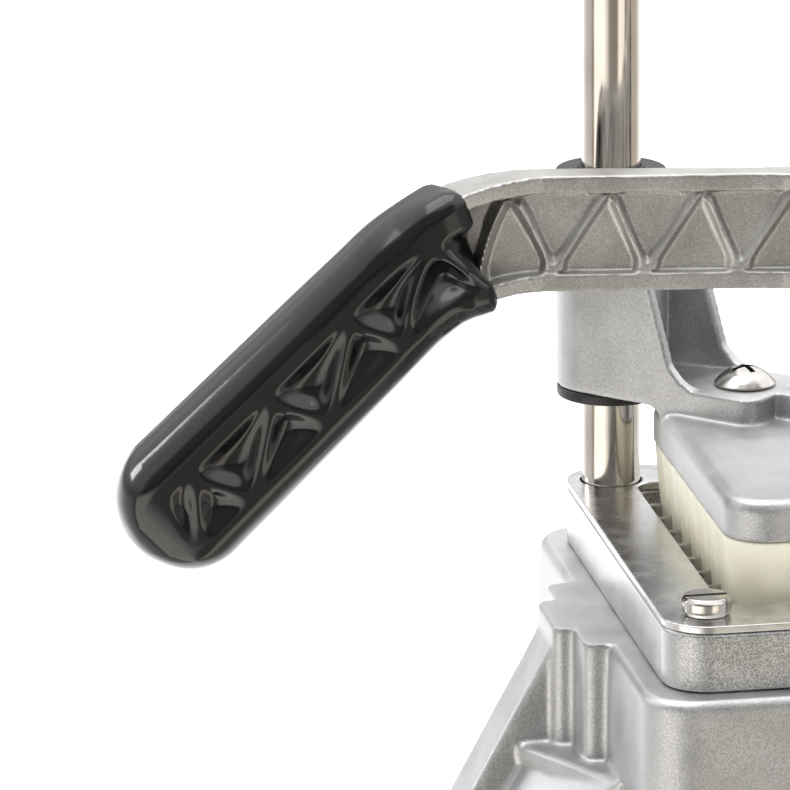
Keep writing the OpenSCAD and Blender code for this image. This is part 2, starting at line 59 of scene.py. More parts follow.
def makeCamera(plan):
    turn, lift, roll = (math.radians(plan[k]) for k in ("azimuth", "elevation", "roll"))
    back = Vector((
        math.sin(turn) * math.cos(lift), -math.cos(turn) * math.cos(lift), math.sin(lift)))
    right = Vector((math.cos(turn), math.sin(turn), 0))
    up = back.cross(right)
    rolledRight = math.cos(roll) * right + math.sin(roll) * up
    rolledUp = math.cos(roll) * up - math.sin(roll) * right
    data = bpy.data.cameras.new("studioCamera")
    data.lens, data.sensor_width = plan["lens"], plan["sensor"]
    data.clip_start, data.clip_end = plan["clip"]
    camera = bpy.data.objects.new("studioCamera", data)
    camera.matrix_world = Matrix.Translation(plan["place"]) @ Matrix(
        (rolledRight, rolledUp, back)).transposed().to_4x4()
    scene.collection.objects.link(camera)
    scene.camera = camera


def linearColour(code):  # sRGB hex to linear
    parts = [int(code[i:i + 2], 16) / 255 for i in (1, 3, 5)]
    return [p / 12.92 if p <= 0.04045 else ((p + 0.055) / 1.055) ** 2.4 for p in parts] + [1.0]


def addNode(tree, kind, values=(), links=()):
    node = tree.nodes.new(kind)
    for key, value in dict(values).items():
        if key == "stops":  # colour ramp stops: place and hex colour
            ramp = node.color_ramp
            while len(ramp.elements) < len(value):
                ramp.elements.new(0.5)
            for element, (place, code) in zip(ramp.elements, value):
                element.position, element.color = place, linearColour(code)
        elif isinstance(key, str) and hasattr(node, key):
            setattr(node, key, value)
        else:
            node.inputs[key].default_value = value
    for key, socket in dict(links).items():
        tree.links.new(socket, node.inputs[key])
    return node


studioPlan = {  # radiance round the object by bearing: 0 towards the front, left negative
    "front": -9.34,  # degrees, where bearing 0 points
    "table": [  # below the horizon: bearing in degrees, hex radiance
        (-180, "#f6f6f6"), (-145, "#f2f2f2"), (-118, "#b0b0b0"), (-85, "#a09d9a"),
        (-79, "#7c776f"), (-74, "#7c776f"), (-69, "#f4efe7"), (-30, "#f4efe7"),
        (-17, "#c4c1bc"), (-7, "#777571"), (22, "#716d64"), (29, "#e6dfd4"), (50, "#dcd5c9"),
        (57, "#979086"), (110, "#9a948c"), (135, "#cccbc9"), (180, "#f4f4f4"),
    ],
    "walls": [  # above it
        (-180, "#8e8e8e"), (-140, "#a0a0a0"), (-110, "#b4b4b4"), (-66, "#b4b4b4"),
        (-50, "#5e5e5e"), (22, "#5e5d5c"), (42, "#a9a9a9"), (110, "#a0a0a0"), (180, "#8e8e8e"),
    ],
    "horizon": (-0.09, 0.02),  # sine of the elevation where the table ends and the walls begin
    "haze": [  # tint by that sine
        (-0.14, "#ffffff"), (0.0, "#b4b4b4"), (0.1, "#cccccc"), (0.24, "#ffffff"),
    ],
    "ceiling": "#d8d8d8",
    "ceilingFrom": (0.42, 0.74), "ceilingLean": (0.3, 0.26),  # lower to the right and the back
    "strength": 2.55,
}


def makeWorld(plan):
    world = bpy.data.worlds.new("studio")
    scene.world = world
    world.use_nodes = True
    tree = world.node_tree
    tree.nodes.clear()
    ray = addNode(tree, "ShaderNodeTexCoord").outputs["Generated"]
    turned = addNode(tree, "ShaderNodeVectorRotate", {
        "rotation_type": "Z_AXIS", "Angle": -math.radians(plan["front"])}, {"Vector": ray})
    parts = addNode(tree, "ShaderNodeSeparateXYZ", links={"Vector": turned.outputs[0]})
    ahead = addNode(tree, "ShaderNodeMath", {"operation": "MULTIPLY", 1: -1.0},
                    {0: parts.outputs["Y"]})
    bearing = addNode(tree, "ShaderNodeMath", {"operation": "ARCTAN2"},
                      {0: parts.outputs["X"], 1: ahead.outputs[0]})
    share = addNode(tree, "ShaderNodeMapRange", {"From Min": -math.pi, "From Max": math.pi},
                    {"Value": bearing.outputs[0]})
    table, walls = (addNode(tree, "ShaderNodeValToRGB", {
        "stops": [(b / 360 + 0.5, code) for b, code in plan[name]]}, {"Fac": share.outputs[0]})
        for name in ("table", "walls"))
    horizon = addNode(tree, "ShaderNodeMapRange", {
        "interpolation_type": "SMOOTHSTEP", "From Min": plan["horizon"][0],
        "From Max": plan["horizon"][1]}, {"Value": parts.outputs["Z"]})
    room = addNode(tree, "ShaderNodeMix", {"data_type": "RGBA"},
                   {0: horizon.outputs[0], 6: table.outputs[0], 7: walls.outputs[0]})
    leaning = addNode(tree, "ShaderNodeVectorMath", {
        "operation": "DOT_PRODUCT", 1: (*plan["ceilingLean"], 1.0)}, {0: turned.outputs[0]})
    height = addNode(tree, "ShaderNodeMapRange", {
        "interpolation_type": "SMOOTHSTEP", "From Min": plan["ceilingFrom"][0],
        "From Max": plan["ceilingFrom"][1]}, {"Value": leaning.outputs["Value"]})
    sky = addNode(tree, "ShaderNodeMix", {"data_type": "RGBA", 7: linearColour(plan["ceiling"])},
                  {0: height.outputs[0], 6: room.outputs[2]})
    rise = addNode(tree, "ShaderNodeMapRange", {"From Min": -1.0, "From Max": 1.0},
                   {"Value": parts.outputs["Z"]})
    haze = addNode(tree, "ShaderNodeValToRGB", {
        "stops": [(sine / 2 + 0.5, code) for sine, code in plan["haze"]]},
        {"Fac": rise.outputs[0]})
    dimmed = addNode(tree, "ShaderNodeMix", {
        "data_type": "RGBA", "blend_type": "MULTIPLY", 0: 1.0},
        {6: sky.outputs[2], 7: haze.outputs[0]})
    glow = addNode(tree, "ShaderNodeBackground", {"Strength": plan["strength"]},
                   {"Color": dimmed.outputs[2]})
    addNode(tree, "ShaderNodeOutputWorld", links={"Surface": glow.outputs[0]})


lampPlan = {  # metres and watts
    "topSoftbox": {"place": (-0.5, 0.1, 1.9), "aim": (0, 0, 0.2), "size": 1.4, "watts": 14},
    "leftSoftbox": {"place": (-1.37, 0.94, 0.75), "aim": (0, 0, 0.2), "size": 0.45, "watts": 5},
}


def makeLamps(plan):
    for name, lampLook in plan.items():
        data = bpy.data.lights.new(name, "AREA")
        data.shape, data.size, data.energy = "SQUARE", lampLook["size"], lampLook["watts"]
        lamp = bpy.data.objects.new(name, data)
        lamp.location = lampLook["place"]
        beam = Vector(lampLook["aim"]) - Vector(lampLook["place"])
        lamp.rotation_euler = beam.to_track_quat("-Z", "Y").to_euler()
        scene.collection.objects.link(lamp)


floorPlan = {  # metres
    "half": 12, "colour": "#f7f7f6", "roughness": 0.85, "glowColour": "#ffffff", "glow": 0.45,
}


def makeFloor(plan):
    bm = bmesh.new()
    bmesh.ops.create_grid(bm, x_segments=1, y_segments=1, size=plan["half"])
    mesh = bpy.data.meshes.new("floor")
    bm.to_mesh(mesh)
    bm.free()
    floor = bpy.data.objects.new("floor", mesh)
    scene.collection.objects.link(floor)
    # matt painted board: pale and without gloss, faintly lit so that it stays paler than shadow
    material, _, shader, _ = startMaterial("palePaintedFloor", plan["roughness"])
    shader.inputs["Base Color"].default_value = linearColour(plan["colour"])
    shader.inputs["Emission Color"].default_value = linearColour(plan["glowColour"])
    shader.inputs["Emission Strength"].default_value = plan["glow"]
    mesh.materials.append(material)
    floor.visible_glossy = False  # metals see the studio's table bands there


# Materials: pattern sizes and reliefs in millimetres, roughness from glossiest to dullest

noiseSpan = (0.3, 0.7)  # most of a noise's values lie between
castToneSpan = (0.32, 0.68)
pitSpan = (0.42, 0.6)  # grain values that grow from pit to bright skin
streakSpan = (0.12, 0.4)  # the same for a product of two noises
facingSpan = (0.5, 0.8)  # how far a face looks along Y before it counts as rough skin, darkened with painted shade


def startMaterial(name, roughness, metallic=0.0, ior=None):
    material = bpy.data.materials.new(name)
    material.use_nodes = True
    tree = material.node_tree
    tree.nodes.clear()
    shader = addNode(tree, "ShaderNodeBsdfPrincipled", {
        "Roughness": roughness, "Metallic": metallic})
    if ior:  # metals keep the default
        shader.inputs["IOR"].default_value = ior
    addNode(tree, "ShaderNodeOutputMaterial", links={"Surface": shader.outputs[0]})
    return material, tree, shader, addNode(tree, "ShaderNodeTexCoord").outputs["Object"]


def perMetre(size):  # noise scale for a feature of size millimetres
    return 1 / (size * mm)


def colourAndGloss(tree, shader, look, cloud, wear, toneSpan=noiseSpan, wearSpan=noiseSpan):
    # the clouds go from dark to light, the wear from glossiest to dullest
    tone = addNode(tree, "ShaderNodeValToRGB", {
        "stops": list(zip(toneSpan, (look["dark"], look["light"])))}, {"Fac": cloud})
    tree.links.new(tone.outputs[0], shader.inputs["Base Color"])
    gloss = addNode(tree, "ShaderNodeMapRange", {
        "From Min": wearSpan[0], "From Max": wearSpan[1], "To Min": look["roughness"][0],
        "To Max": look["roughness"][1]}, {"Value": wear})
    tree.links.new(gloss.outputs[0], shader.inputs["Roughness"])
    return tone.outputs[0]


def castAluminium(name, look):
    # satin skin with fine grain, clouded by handling; on faces along Y the grain is coarser and its
    # darker pits also paint shade on those sides
    material, tree, shader, place = startMaterial(name, look["roughness"][0], 1.0)
    cloud = addNode(tree, "ShaderNodeTexNoise", {
        "Scale": perMetre(look["cloud"]), "Detail": 4.0, "Roughness": 0.6},
        {"Vector": place}).outputs["Fac"]
    tone = colourAndGloss(tree, shader, look, cloud, cloud, castToneSpan)
    grain = addNode(tree, "ShaderNodeTexNoise", {
        "Scale": perMetre(look["grain"]), "Detail": 3.0, "Roughness": 0.55}, {"Vector": place})
    normal = addNode(tree, "ShaderNodeSeparateXYZ", links={
        "Vector": addNode(tree, "ShaderNodeTexCoord").outputs["Normal"]})
    facing = addNode(tree, "ShaderNodeMath", {"operation": "ABSOLUTE"}, {0: normal.outputs["Y"]})
    # faces along Y get the full grain: coarser relief, and dark pits that are grain and painted
    # shade on those sides
    roughSkinAndShade = addNode(tree, "ShaderNodeMapRange", {
        "From Min": facingSpan[0], "From Max": facingSpan[1], "To Min": look["smoothShare"],
        "To Max": 1.0}, {"Value": facing.outputs[0]})
    tint = addNode(tree, "ShaderNodeMapRange", {
        "From Min": pitSpan[0], "From Max": pitSpan[1], "To Min": look["pitTone"],
        "To Max": 1.0}, {"Value": grain.outputs["Fac"]})
    # multiplies the pits' darkness in, fully on faces along Y, where it is painted shade as well as
    # grain
    shade = addNode(tree, "ShaderNodeMix", {"data_type": "RGBA", "blend_type": "MULTIPLY"},
                    {0: roughSkinAndShade.outputs[0], 6: tone, 7: tint.outputs[0]})
    tree.links.new(shade.outputs[2], shader.inputs["Base Color"])
    height = addNode(tree, "ShaderNodeMath", {"operation": "MULTIPLY"},
                     {0: grain.outputs["Fac"], 1: roughSkinAndShade.outputs[0]})
    fine = addNode(tree, "ShaderNodeBump", {"Strength": 1.0, "Distance": look["relief"] * mm},
                   {"Height": height.outputs[0]})
    swell = addNode(tree, "ShaderNodeTexNoise", {
        "Scale": perMetre(look["swell"]), "Detail": 2.0}, {"Vector": place})
    broad = addNode(tree, "ShaderNodeBump", {
        "Strength": 1.0, "Distance": look["swellRelief"] * mm},
        {"Height": swell.outputs["Fac"], "Normal": fine.outputs[0]})
    tree.links.new(broad.outputs[0], shader.inputs["Normal"])
    return material


def streakedSteel(name, look):
    # mirror-like steel whose gloss breaks into long fine streaks along one axis
    material, tree, shader, place = startMaterial(name, look["roughness"][0], 1.0)
    stretched = addNode(tree, "ShaderNodeMapping", {"Scale": look["along"]}, {"Vector": place})
    streak = addNode(tree, "ShaderNodeTexNoise", {
        "Scale": perMetre(look["streak"]), "Detail": 4.0}, {"Vector": stretched.outputs[0]})
    cloud = addNode(tree, "ShaderNodeTexNoise", {
        "Scale": perMetre(look["cloud"]), "Detail": 3.0}, {"Vector": place}).outputs["Fac"]
    both = addNode(tree, "ShaderNodeMath", {"operation": "MULTIPLY"},
                   {0: streak.outputs["Fac"], 1: cloud})
    colourAndGloss(tree, shader, look, cloud, both.outputs[0], wearSpan=streakSpan)
    bump = addNode(tree, "ShaderNodeBump", {"Strength": 1.0, "Distance": look["relief"] * mm},
                   {"Height": streak.outputs["Fac"]})
    tree.links.new(bump.outputs[0], shader.inputs["Normal"])
    return material


def mouldedPlastic(name, look):
    # even colour, faint clouding in colour and gloss, and a soft uneven skin
    material, tree, shader, place = startMaterial(name, look["roughness"][0], 0.0, look["ior"])
    cloud = addNode(tree, "ShaderNodeTexNoise", {
        "Scale": perMetre(look["cloud"]), "Detail": 3.0}, {"Vector": place}).outputs["Fac"]
    colourAndGloss(tree, shader, look, cloud, cloud)
    skin = addNode(tree, "ShaderNodeTexNoise", {
        "Scale": perMetre(look["skin"]), "Detail": 2.0}, {"Vector": place})
    bump = addNode(tree, "ShaderNodeBump", {"Strength": 1.0, "Distance": look["relief"] * mm},
                   {"Height": skin.outputs["Fac"]})
    tree.links.new(bump.outputs[0], shader.inputs["Normal"])
    if "glow" in look:  # light that soaks in, red deepest
        shader.inputs["Subsurface Weight"].default_value = look["glow"]
        shader.inputs["Subsurface Radius"].default_value = [d * mm for d in look["glowDepth"]]
        shader.inputs["Subsurface Scale"].default_value = 1.0
    return material


castLook = {
    "light": "#d0d1d2", "dark": "#bfc0c1", "cloud": 14, "roughness": (0.42, 0.54),
    "grain": 0.42, "relief": 0.075,  # blasting leaves 0.15 mm pits, drawn coarser so that they show
    # pitTone darkens the pits, only smoothShare of it away from faces along Y; in full on faces
    # along Y it also paints shade
    "smoothShare": 0.3, "pitTone": 0.72, "swell": 11, "swellRelief": 0.12,
}
materials = {
    # die cast, blasted and tumbled: soft satin grey with blurred highlights on its edges
    "tumbledCasting": castAluminium("tumbledCastAluminium", castLook),
    # blasted and not tumbled: the same metal, brighter, with sharp dark pits that sparkle; on faces
    # along Y the pits also paint shade
    "cassetteCasting": castAluminium("blastedCastAluminium", {
        **castLook, "light": "#d2d3d4", "dark": "#bebfc0", "relief": 0.14, "pitTone": 0.55,
        "roughness": (0.3, 0.42)}),
    # washed and handled: a warmer and duller grey
    "handleCasting": castAluminium("cleanedCastAluminium", {
        **castLook, "light": "#c9c8c6", "dark": "#b5b3b0", "smoothShare": 0.4}),
    # the steels' scratches are 0.02 mm wide, drawn up to half a millimetre so that they show
    # polished sheet: smeared mirror images along X, wiped in patches
    "platePolish": streakedSteel("polishedStainlessSheet", {
        "light": "#dadad9", "dark": "#c4c4c4", "cloud": 6, "streak": 0.5, "along": (0.05, 1, 1),
        "roughness": (0.2, 0.32), "relief": 0.006}),
    # ground and honed: bright and dark bands run up the rod, with hardly a streak
    "rodGround": streakedSteel("centrelessGroundStainlessRod", {
        "light": "#c8c3bd", "dark": "#b4aea7", "cloud": 20, "streak": 0.4, "along": (1, 1, 0.04),
        "roughness": (0.08, 0.17), "relief": 0.004}),
    # cold rolled and whetted: thin bright strips with a silky drag
    "bladeSteel": streakedSteel("rolledBladeSteel", {
        "light": "#cfd0d1", "dark": "#b8b9ba", "cloud": 8, "streak": 0.4, "along": (0.1, 0.1, 1),
        "roughness": (0.14, 0.26), "relief": 0.004}),
    # turned and passivated: small warm mirrors with soft turning marks
    "fastener": streakedSteel("turnedStainlessFastener", {
        "light": "#cfccc8", "dark": "#b9b5b0", "cloud": 4, "streak": 0.35, "along": (1, 1, 0.3),
        "roughness": (0.12, 0.24), "relief": 0.006}),
    # cast and sawn: creamy, waxy and a little see-through at its edges
    "nylon": mouldedPlastic("naturalCastNylon", {
        "light": "#f1edda", "dark": "#e9e3cb", "cloud": 22, "skin": 3, "relief": 0.05,
        "ior": 1.53, "roughness": (0.3, 0.42), "glow": 0.25, "glowDepth": (4, 3, 1.5)}),
    # turned from bar: even soft black, turning marks of 0.1 mm drawn coarser so that they show
    "acetal": mouldedPlastic("turnedBlackAcetal", {
        "light": "#242425", "dark": "#19191a", "cloud": 5, "skin": 0.5, "relief": 0.01,
        "ior": 1.48, "roughness": (0.38, 0.5)}),
    # moulded in a blasted tool: matt charcoal, its 0.2 mm texture drawn coarser so that it shows
    "rubber": mouldedPlastic("mouldedNitrileRubber", {
        "light": "#232324", "dark": "#171718", "cloud": 6, "skin": 0.7, "relief": 0.03,
        "ior": 1.52, "roughness": (0.6, 0.75)}),
    # hot dipped: wet-looking black whose long reflections waver where the coat ran
    "dippedVinyl": mouldedPlastic("hotDippedVinyl", {
        "light": "#101112", "dark": "#0b0c0d", "cloud": 30, "skin": 9, "relief": 0.05,
        "ior": 1.54, "roughness": (0.1, 0.15)}),
}
print("materials made:", len(materials))


# Mesh helpers: every outline and profile is in metres

def eased(s):
    s = min(max(s, 0), 1)
    return s * s * (3 - 2 * s)


def lookUp(table, at):  # between a table's rows, eased where it has more than three
    if at <= table[0][0]:
        return table[0][1]
    for (x0, y0), (x1, y1) in zip(table, table[1:]):
        if at <= x1:
            s = (at - x0) / (x1 - x0)
            return y0 + (y1 - y0) * (eased(s) if len(table) > 3 else s)
    return table[-1][1]


def middleOf(node):
    low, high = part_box(node)
    return (low + high) / 2


def roundCorners(points, radius, steps=3, closed=True, most=0.45):
    # each corner takes at most that share of the sides beside it
    rounded = []
    for i, point in enumerate(points):
        here = Vector(point)
        if not closed and i in (0, len(points) - 1):
            rounded.append(here)
            continue
        before = Vector(points[i - 1]) - here
        after = Vector(points[(i + 1) % len(points)]) - here
        reach = min(radius, before.length * most, after.length * most)
        start, end = here + before.normalized() * reach, here + after.normalized() * reach
        for k in range(steps + 1):
            s = k / steps
            rounded.append(start.lerp(here, s).lerp(here.lerp(end, s), s))
    return rounded


def addFace(bm, corners):  # leaves out repeated corners, and faces that have fewer than three
    corners = [c for n, c in enumerate(corners) if c not in corners[:n]]
    if len(corners) > 2:
        bm.faces.new(corners)


def lathe(bm, profile, centre, segments=72, closed=False):
    rings = []
    for radius, height in profile:
        if radius < 1e-7:
            rings.append([bm.verts.new(Vector(centre) + Vector((0, 0, height)))])
            continue
        rings.append([bm.verts.new(Vector(centre) + Vector((
            radius * math.cos(2 * math.pi * i / segments),
            radius * math.sin(2 * math.pi * i / segments), height))) for i in range(segments)])
    for low, high in zip(rings, rings[1:] + (rings[:1] if closed else [])):
        for i in range(segments):
            j = (i + 1) % segments
            addFace(bm, [low[i % len(low)], low[j % len(low)],
                         high[j % len(high)], high[i % len(high)]])


def roundedSquare(side, radius, steps=9, leastRadius=0.2):
    def outline(inset, share=0):
        half, r = side / 2 - inset, max(radius - inset, leastRadius * mm)
        return [Vector((sx * (half - r) + r * math.cos(a), sy * (half - r) + r * math.sin(a)))
                for sx, sy, first in ((1, 1, 0), (-1, 1, 90), (-1, -1, 180), (1, -1, 270))
                for a in (math.radians(first + 90 * k / steps) for k in range(steps + 1))]
    return outline


def squareHole(side, radius):
    return lambda inset, share=0: roundedSquare(side + 2 * inset, radius + inset)(0)


def roundHole(centre, radius, steps=48):
    turns = [2 * math.pi * i / steps for i in range(steps)]
    return lambda inset, share=0: [
        Vector(centre) + (radius + inset) * Vector((math.cos(a), math.sin(a))) for a in turns]


def prism(bm, outlines, low, high, ease, steps=3):
    # outlines give their points for an inset and a share of the height; the others are holes
    turns = [math.pi / 2 * k / steps for k in range(steps + 1)]
    rise = [(ease * (1 - math.sin(a)), ease * (1 - math.cos(a))) for a in turns]
    levels = [(inset, low + up) for inset, up in rise]
    levels += [(inset, high - up) for inset, up in rise[::-1]]
    ends = ([], [])
    for outline in outlines:
        rings = [[bm.verts.new((*p, z)) for p in outline(inset, (z - low) / (high - low))]
                 for inset, z in levels]
        for lower, upper in zip(rings, rings[1:]):
            for i in range(len(lower)):
                j = (i + 1) % len(lower)
                bm.faces.new((lower[i], lower[j], upper[j], upper[i]))
        for edges, ring in zip(ends, (rings[0], rings[-1])):
            edges += [bm.edges.get((ring[i - 1], ring[i])) for i in range(len(ring))]
    for edges in ends:
        bmesh.ops.triangle_fill(bm, use_beauty=True, edges=edges)


def shadeByAngle(mesh, limit=34):
    bm = bmesh.new()
    bm.from_mesh(mesh)
    for face in bm.faces:
        face.smooth = True
    for edge in bm.edges:
        edge.smooth = len(edge.link_faces) != 2 or edge.calc_face_angle(0) < math.radians(limit)
    bm.to_mesh(mesh)
    bm.free()


def addPiece(node, finish, source, body, material):
    # source is a bmesh or a finished mesh, which takes the node's place
    name = node + "_" + finish
    if isinstance(source, bmesh.types.BMesh):
        bmesh.ops.recalc_face_normals(source, faces=source.faces)
        mesh = bpy.data.meshes.new(name)
        source.to_mesh(mesh)
        source.free()
    else:
        mesh = source
    shadeByAngle(mesh)
    mesh.materials.clear()
    mesh.materials.append(materials[material])
    piece = bpy.data.objects.new(name, mesh)
    scene.collection.objects.link(piece)
    even = piece.modifiers.new("evenShading", "WEIGHTED_NORMAL")
    even.keep_sharp = True
    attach(piece, body)
    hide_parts(node)


def bakeModifiers(bm, name, recipe):
    mesh = bpy.data.meshes.new(name)
    bm.to_mesh(mesh)
    bm.free()
    work = bpy.data.objects.new(name + "Work", mesh)
    scene.collection.objects.link(work)
    for kind, values in recipe:
        modifier = work.modifiers.new(kind.lower(), kind)
        for key, value in values.items():
            setattr(modifier, key, value)
    baked = bpy.data.meshes.new_from_object(
        work.evaluated_get(bpy.context.evaluated_depsgraph_get()))
    bpy.data.objects.remove(work)
    return baked


def cutAndEase(bm, groups, name, ease, sharpFrom=50):
    # cuts each group of boxes out, then eases the edges that stay sharp
    recipe, cutters = [], []
    for boxes in groups:
        tool = bmesh.new()
        for centre, size, turn in boxes:
            made = bmesh.ops.create_cube(tool, size=1)
            matrix = Matrix.Translation(centre) @ Matrix.Rotation(turn, 4, "Z")
            bmesh.ops.transform(tool, matrix=matrix @ Matrix.Diagonal((*size, 1)),
                                verts=made["verts"])
        mesh = bpy.data.meshes.new(name + "Tool")
        tool.to_mesh(mesh)
        tool.free()
        cutter = bpy.data.objects.new(name + "Tool", mesh)
        scene.collection.objects.link(cutter)
        cutters.append(cutter)
        recipe.append(("BOOLEAN", {
            "operation": "DIFFERENCE", "object": cutter, "solver": "EXACT"}))
    bpy.context.view_layer.update()
    cut = bakeModifiers(bm, name, recipe + [
        ("BEVEL", {"width": ease, "segments": 2, "limit_method": "ANGLE",
                   "angle_limit": math.radians(sharpFrom), "use_clamp_overlap": True}),
    ])
    for cutter in cutters:
        bpy.data.objects.remove(cutter)
    return cut


# The handle's path, from its middle outwards: straight, bent down, then straight to the end

barPath = {  # millimetres and degrees
    "straightHalf": 92, "bendRadius": 56, "bendAngle": 45, "endLength": 78, "height": 253.65,
    "turn": -8.5,  # about the vertical
    "halfDepths": (  # by distance from the middle
        (29, 4.4), (38, 3.65), (60, 4.3), (92, 4.85), (104, 7.6), (117, 11), (132, 13.6),
        (148, 14.5), (222, 14.5)),
}


def pathFrame(path, t):  # the point t along the path, with the directions along and up
    straight, radius = path["straightHalf"], path["bendRadius"]
    full = math.radians(path["bendAngle"])
    turn = min(max((t - straight) / radius, 0), full)
    past = max(0, t - straight - radius * full)
    point = Vector((
        min(t, straight) + radius * math.sin(turn) + past * math.cos(full), 0,
        path["height"] - radius * (1 - math.cos(turn)) - past * math.sin(full)))
    along = Vector((math.cos(turn), 0, -math.sin(turn)))
    return point, along, Vector((math.sin(turn), 0, math.cos(turn)))


# Castings: the solid is skinned in small voxels and relaxed, which gives every edge a fillet

castPlan = {  # voxel in millimetres, turn in degrees lays the voxels along the casting
    "base_casting": {"voxel": 0.8, "turn": 0, "material": "tumbledCasting", "body": "base"},
    "head_casting": {"voxel": 0.6, "turn": 0, "material": "tumbledCasting", "body": "head"},
    "handle_casting": {
        "voxel": 0.5, "turn": barPath["turn"], "material": "handleCasting", "body": "head"},
}
relaxPlan = {  # weld in millimetres
    "weld": 0.02, "push": 0.5, "firstPasses": 8, "facesKept": 0.4, "lastPasses": 2,
}
ribPlan = {  # the bar's truss in millimetres, along its path and over its middle
    "firstFoot": 40.2, "pitch": 24.6, "count": 4, "toTop": (-14.2, 9.1), "reach": 0.78,
    "from": 24.6, "to": 124, "flange": 10.85, "wall": 0.3, "webHalf": 1.3,
    "crest": 0.5, "outerSide": 1.6, "innerSide": 0.8, "shortEnd": 8.4, "shortRun": 1.4,
    "footFrom": -7.5, "footSpread": 0.45,
}
corePlan = {"from": 117, "run": 7, "slim": 0.5}  # millimetres out, and the depth's share lost


def ribHeight(t, v, ribs):
    # share of a rib's height here: a narrow crest, a broad outer side and a steep inner one
    best = 0
    for i in range(ribs["count"]):
        foot = ribs["firstFoot"] + i * ribs["pitch"]
        for lean in ribs["toTop"]:
            middle = foot + lean * (v + ribs["flange"]) / (2 * ribs["flange"])
            off = (t - middle) / math.hypot(1, lean / (2 * ribs["flange"]))
            crest = ribs["crest"] + ribs["footSpread"] * max(0, ribs["footFrom"] - v)
            side = ribs["outerSide"] if off > 0 else ribs["innerSide"]
            share = 1 - (abs(off) - crest) / side
            if lean > 0:  # the steeper ribs stop short of the upper flange
                share = min(share, (ribs["shortEnd"] + ribs["shortRun"] - v) / ribs["shortRun"])
            best = max(best, share)
    return min(best, 1)


def dressPockets(mesh, path, ribs):
    # sets the bar's web between its flanges to the height of the ribs there
    straight, radius = path["straightHalf"], path["bendRadius"]
    for vertex in mesh.vertices:
        x, z = abs(vertex.co.x) / mm, vertex.co.z / mm - path["height"]
        if x < ribs["from"] or x > ribs["to"]:
            continue
        t, v = x, z
        if x > straight:
            arm = Vector((x - straight, z + radius))
            t = straight + radius * math.atan2(arm.x, arm.y)
            v = arm.length - radius
        if abs(v) < ribs["flange"] - ribs["wall"]:
            rise = ribs["reach"] * (lookUp(path["halfDepths"], x) - ribs["webHalf"])
            depth = ribs["webHalf"] + rise * ribHeight(t, v, ribs)
            vertex.co.y = math.copysign(depth, vertex.co.y) * mm


def slimCore(mesh, plan):
    # thins the casting where the coat hides it, to leave room for the coat's hollows
    for vertex in mesh.vertices:
        share = eased((abs(vertex.co.x) / mm - plan["from"]) / plan["run"])
        vertex.co.y *= 1 - plan["slim"] * share


def makeCasting(node, plan, relax):
    bm = bmesh.new()
    bm.from_mesh(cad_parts[node].data)
    bmesh.ops.remove_doubles(bm, verts=bm.verts, dist=relax["weld"] * mm)
    aligned = Matrix.Rotation(math.radians(plan["turn"]), 4, "Z")
    bmesh.ops.transform(bm, matrix=aligned.inverted(), verts=bm.verts)
    solid = bakeModifiers(bm, node, [
        ("REMESH", {"mode": "VOXEL", "voxel_size": plan["voxel"] * mm})])
    if node == "handle_casting":
        dressPockets(solid, barPath, ribPlan)
    bm = bmesh.new()
    bm.from_mesh(solid)
    skin = bakeModifiers(bm, node, [
        ("SMOOTH", {"factor": relax["push"], "iterations": relax["firstPasses"]}),
        ("DECIMATE", {"ratio": relax["facesKept"]}),
        ("SMOOTH", {"factor": relax["push"], "iterations": relax["lastPasses"]}),
    ])
    if node == "handle_casting":
        slimCore(skin, corePlan)
    skin.transform(aligned)
    addPiece(node, "skin", skin, plan["body"], plan["material"])


# Cassette: eased cast box, polished sheet on top, two levels of ground strips

cassettePlan = {  # millimetres
    "corner": 12, "opening": 115, "openingCorner": 5, "boxEase": 1.3, "plateEase": 0.35,
    "rodHole": 8.5, "screwHole": 4.2, "bladeEdge": 0.8, "bladeTip": 0.06,
}


def makeCassette(plan):
    for node, ease, material, slot in (
            ("blade_frame", plan["boxEase"], "cassetteCasting", "cassette_casting"),
            ("blade_plate", plan["plateEase"], "platePolish", "stainless_plate")):
        low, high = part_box(node)
        outlines = [roundedSquare(high.x - low.x, plan["corner"] * mm),
                    squareHole(plan["opening"] * mm, plan["openingCorner"] * mm)]
        for through, hole in (("guide_rod_", "rodHole"), ("frame_screw_", "screwHole")):
            outlines += [roundHole(middleOf(through + side).xy, plan[hole] * mm)
                         for side in ("left", "right")]
        bm = bmesh.new()
        prism(bm, outlines, low.z, high.z, ease * mm)
        addPiece(node, "eased", bm, "base", material)


def makeBlades(plan, grid):
    edge, tip = plan["bladeEdge"] * mm, plan["bladeTip"] * mm
    for node, alongX in (("cross_blades", True), ("long_blades", False)):
        low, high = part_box(node)
        reach, half = (high.x, grid[0] - low.y) if alongX else (high.y, grid[0] - low.x)
        profile = [(-half, low.z), (-half, high.z - edge), (-tip, high.z), (tip, high.z),
                   (half, high.z - edge), (half, low.z)]
        bm = bmesh.new()
        for at in grid:
            rings = [[bm.verts.new((end, at + off, z) if alongX else (at + off, end, z))
                      for off, z in profile] for end in (-reach, reach)]
            for i in range(len(profile)):
                bm.faces.new((rings[0][i - 1], rings[0][i], rings[1][i], rings[1][i - 1]))
            for ring in rings:
                bm.faces.new(ring)
        addPiece(node, "ground", bm, "base", "bladeSteel")


# Pusher block: cast nylon, sawn into fingers, with grooves up its left and right sides

blockPlan = {  # millimetres
    "cut": 12.7, "cells": 9, "slot": 2.0, "corner": 12, "ease": 0.9, "fingerEase": 0.3,
    "fingerTop": 168.0, "draft": 3.3, "grooveDepth": 0.9, "grooveHalf": 1.6,
}


